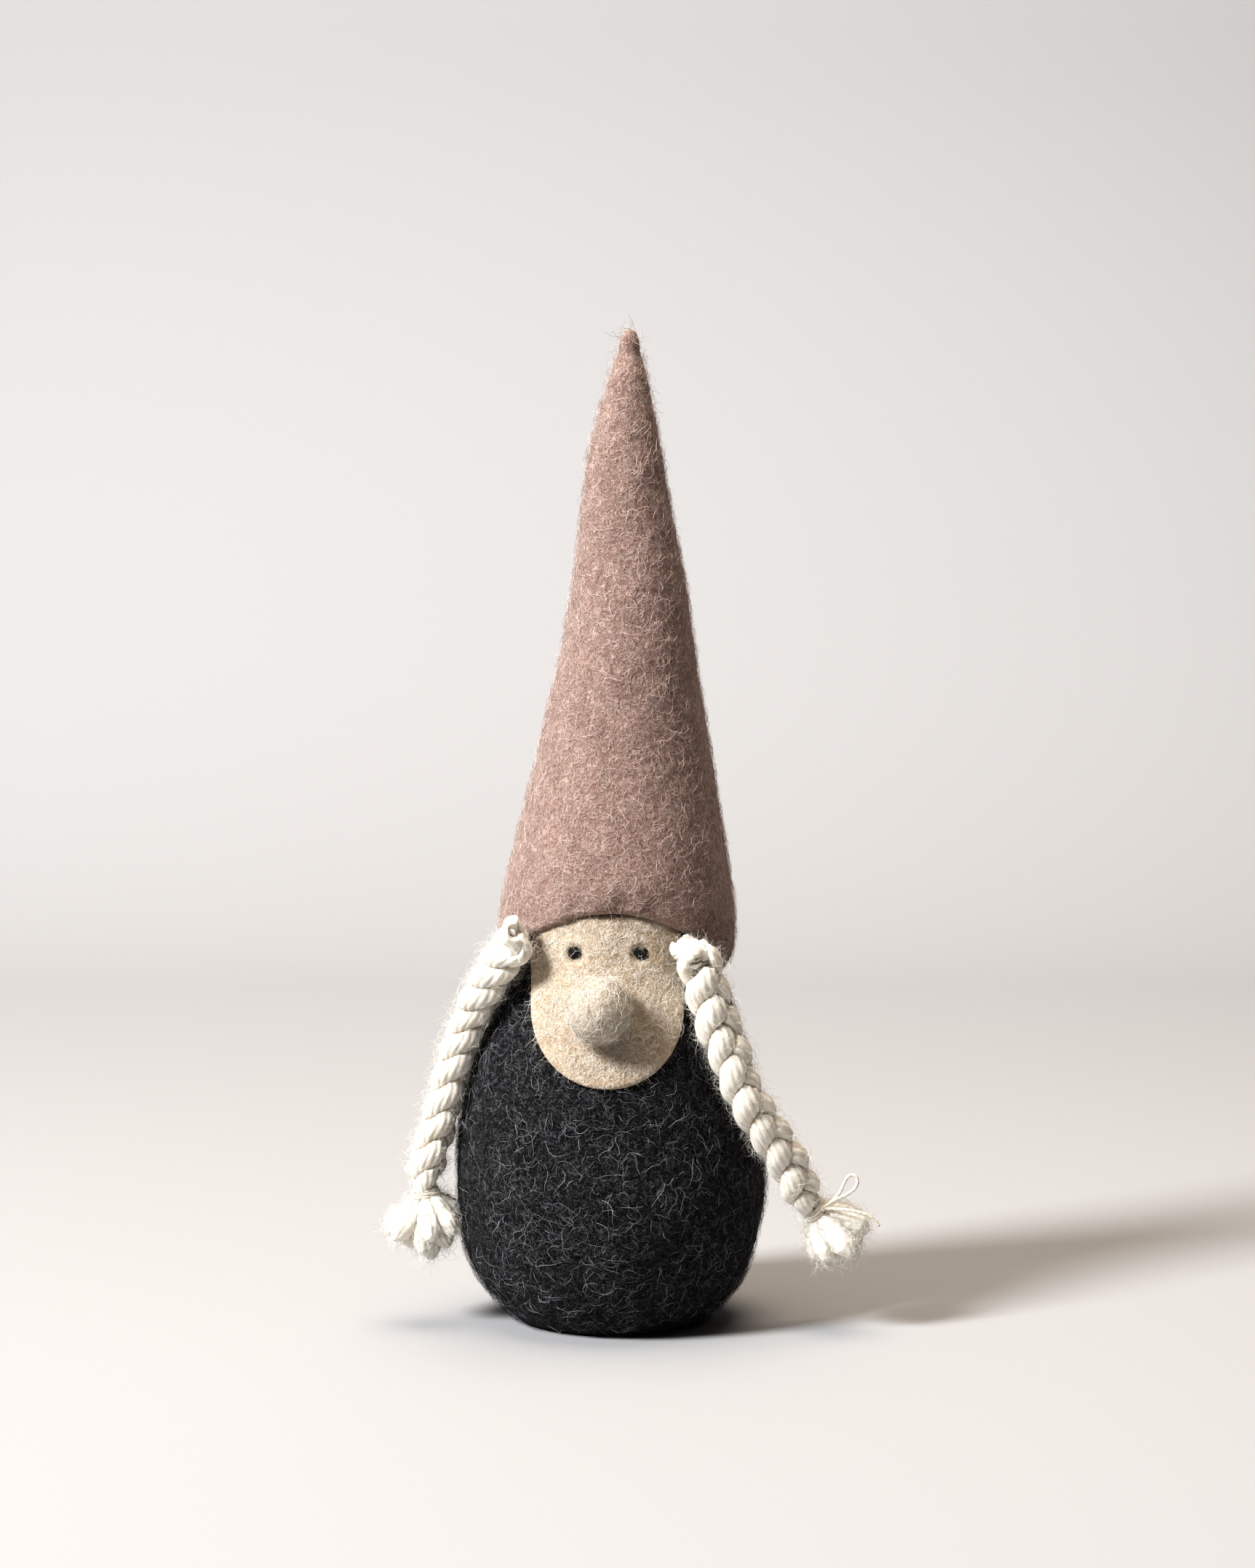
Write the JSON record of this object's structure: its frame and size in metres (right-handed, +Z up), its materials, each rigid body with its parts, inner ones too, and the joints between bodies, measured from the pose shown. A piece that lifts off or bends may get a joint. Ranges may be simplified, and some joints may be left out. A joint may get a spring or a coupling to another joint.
{
  "type": "gnome figurine",
  "caption": "Standing felted wool gnome with a tall pointed hat, a knob nose, a felt face and hanging plaited braids tied with string.",
  "frame": {"origin": "middle of the flat standing face under the body", "axes": "+Z up through the body and hat, -Y the way the face looks, +X to the right of someone facing it"},
  "size_m": [0.1454, 0.0998, 0.3],
  "materials": {
    "body_felt": "charcoal melange wool felt with pale stray fibres",
    "hat_felt": "dusty pink melange wool felt",
    "face_felt": "beige wool felt with tan fibres",
    "nose_wool": "smooth needle-felted beige wool",
    "eye_wool": "black wool tuft",
    "braid_wool": "undyed cream wool roving",
    "core_wool": "undyed wool stuffing",
    "thread": "cream twisted cotton thread"
  },
  "bodies": {
    "gnome": {"body_skin": "body_felt", "body_core": "core_wool", "face_patch": "face_felt", "eye_left": "eye_wool", "eye_right": "eye_wool", "nose": "nose_wool", "hat_shell": "hat_felt", "hat_stuffing": "core_wool", "hat_stitch_1": "thread", "hat_stitch_2": "thread", "hat_stitch_3": "thread", "hat_stitch_4": "thread", "hat_stitch_5": "thread", "hat_stitch_6": "thread", "hat_stitch_7": "thread", "hat_stitch_8": "thread", "hat_stitch_9": "thread"},
    "left_braid_root": {"braid_left_top": "braid_wool"},
    "left_braid": {"braid_left_strand_1": "braid_wool", "braid_left_strand_2": "braid_wool", "braid_left_strand_3": "braid_wool", "braid_left_string": "thread"},
    "right_braid_root": {"braid_right_top": "braid_wool"},
    "right_braid": {"braid_right_strand_1": "braid_wool", "braid_right_strand_2": "braid_wool", "braid_right_strand_3": "braid_wool", "braid_right_string": "thread"}
  },
  "joints": [
    {"name": "left_braid_swing_out", "type": "hinge", "parent": "gnome", "child": "left_braid_root", "pos_m": [-0.0255, -0.0315, 0.1205], "axis": [0, 1, 0], "range_deg": [0, 100]},
    {"name": "left_braid_lift_forward", "type": "hinge", "parent": "left_braid_root", "child": "left_braid", "pos_m": [-0.0255, -0.0315, 0.1205], "axis": [-1, 0, 0], "range_deg": [0, 85]},
    {"name": "right_braid_swing_out", "type": "hinge", "parent": "gnome", "child": "right_braid_root", "pos_m": [0.0245, -0.0325, 0.119], "axis": [0, -1, 0], "range_deg": [0, 100]},
    {"name": "right_braid_lift_forward", "type": "hinge", "parent": "right_braid_root", "child": "right_braid", "pos_m": [0.0245, -0.0325, 0.119], "axis": [-1, 0, 0], "range_deg": [0, 85]}
  ]
}
